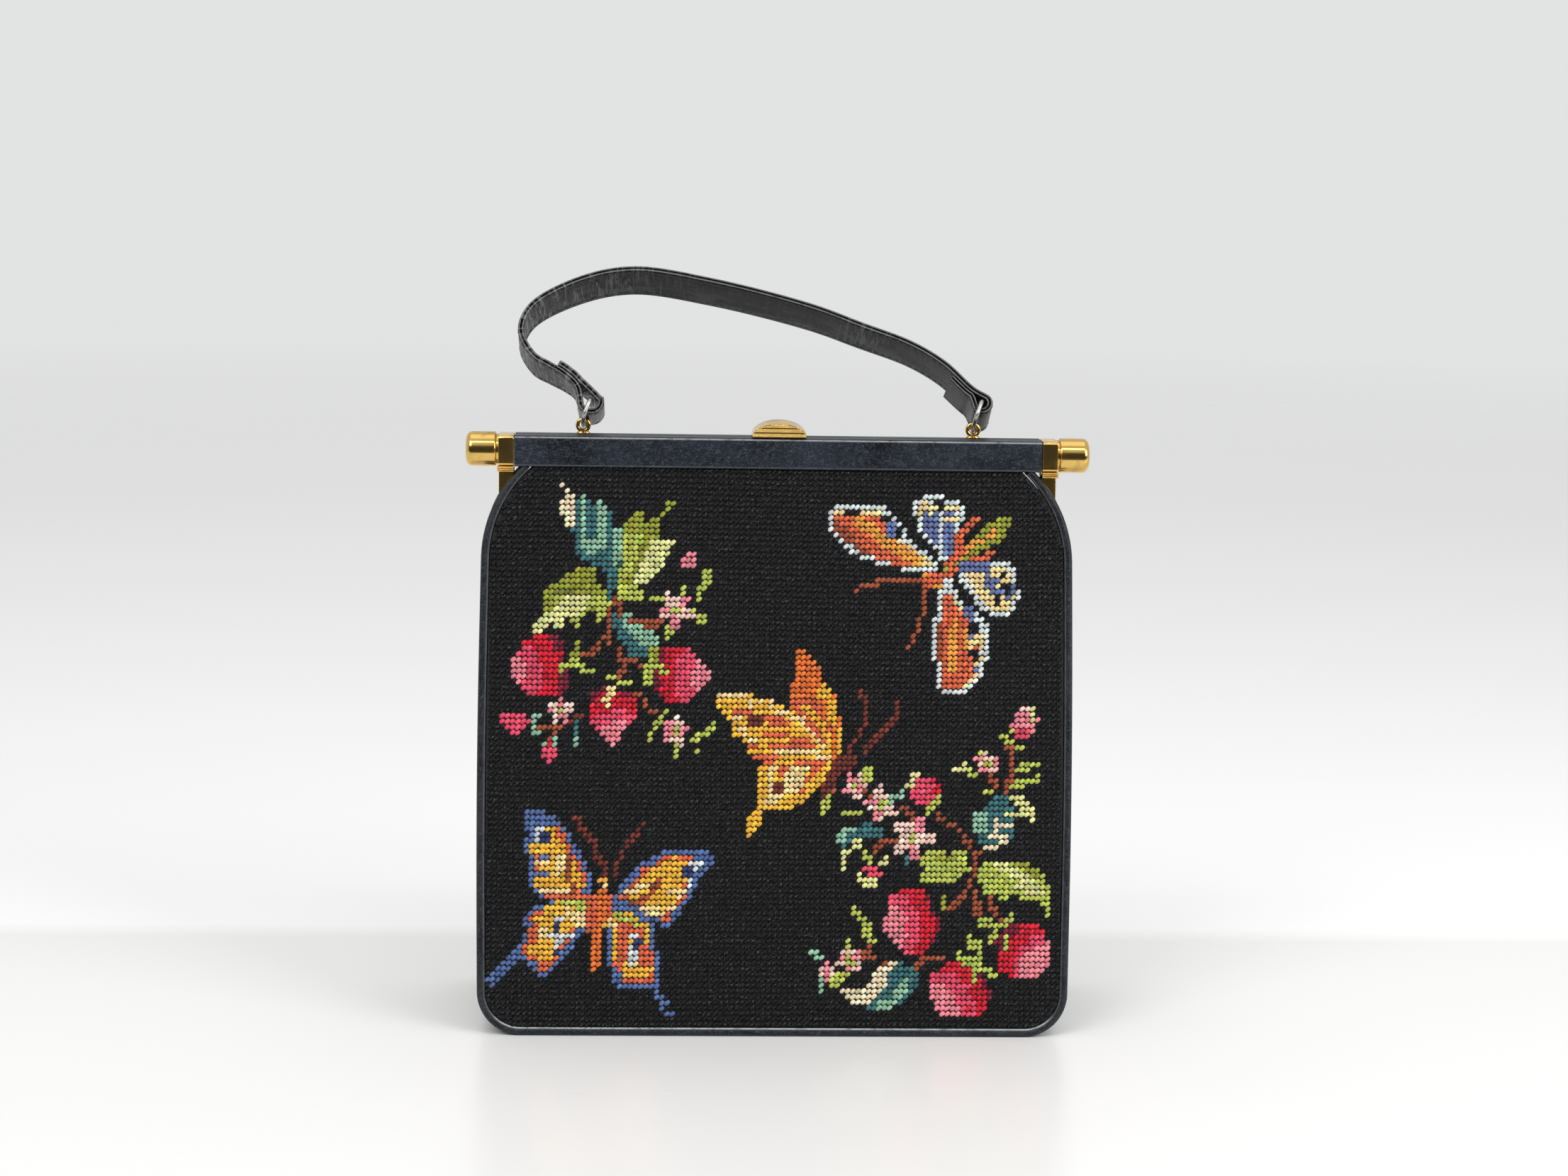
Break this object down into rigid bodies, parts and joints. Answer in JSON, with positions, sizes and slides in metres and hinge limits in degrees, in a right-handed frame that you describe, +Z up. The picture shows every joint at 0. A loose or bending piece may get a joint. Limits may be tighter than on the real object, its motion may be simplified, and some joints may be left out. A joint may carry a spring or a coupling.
{
  "type": "needlepoint purse",
  "caption": "Framed handbag with needlepoint panels, leather-covered bar frame, brass ends and lift clasp, and a leather strap handle on wire links.",
  "frame": {"origin": "on the floor, in the middle of the flat base", "axes": "+Z up, front of the bag faces -Y, +X to the right of someone who looks at the front"},
  "size_m": [0.256, 0.0839, 0.3103],
  "materials": {
    "needlepoint": "black wool tent stitch with coloured butterflies and strawberries",
    "leather": "smooth blue-black calf, lightly scuffed",
    "strap_leather": "glossy black, creased",
    "brass": "polished, slightly tarnished",
    "steel": "dull nickel-plated wire"
  },
  "bodies": {
    "bag": {"needlepoint_front": "needlepoint", "needlepoint_back": "needlepoint", "piping_front": "leather", "piping_back": "leather", "gusset": "leather", "bar_front": "leather", "bar_back": "leather", "brass_end_front_left": "brass", "brass_end_front_right": "brass", "brass_end_back_left": "brass", "brass_end_back_right": "brass", "hinge_rivet_left": "brass", "hinge_rivet_right": "brass", "eyelet_left": "brass", "eyelet_right": "brass", "link_left": "steel", "link_right": "steel", "handle_strap": "strap_leather", "clasp_base": "brass", "clasp_pin": "brass", "clasp_catch": "brass"},
    "clasp": {"clasp_tab": "brass"}
  },
  "joints": [
    {"name": "clasp_lift", "type": "hinge", "parent": "bag", "child": "clasp", "pos_m": [0, 0.0052, 0.2456], "axis": [-1, 0, 0], "range_deg": [0, 60]}
  ]
}
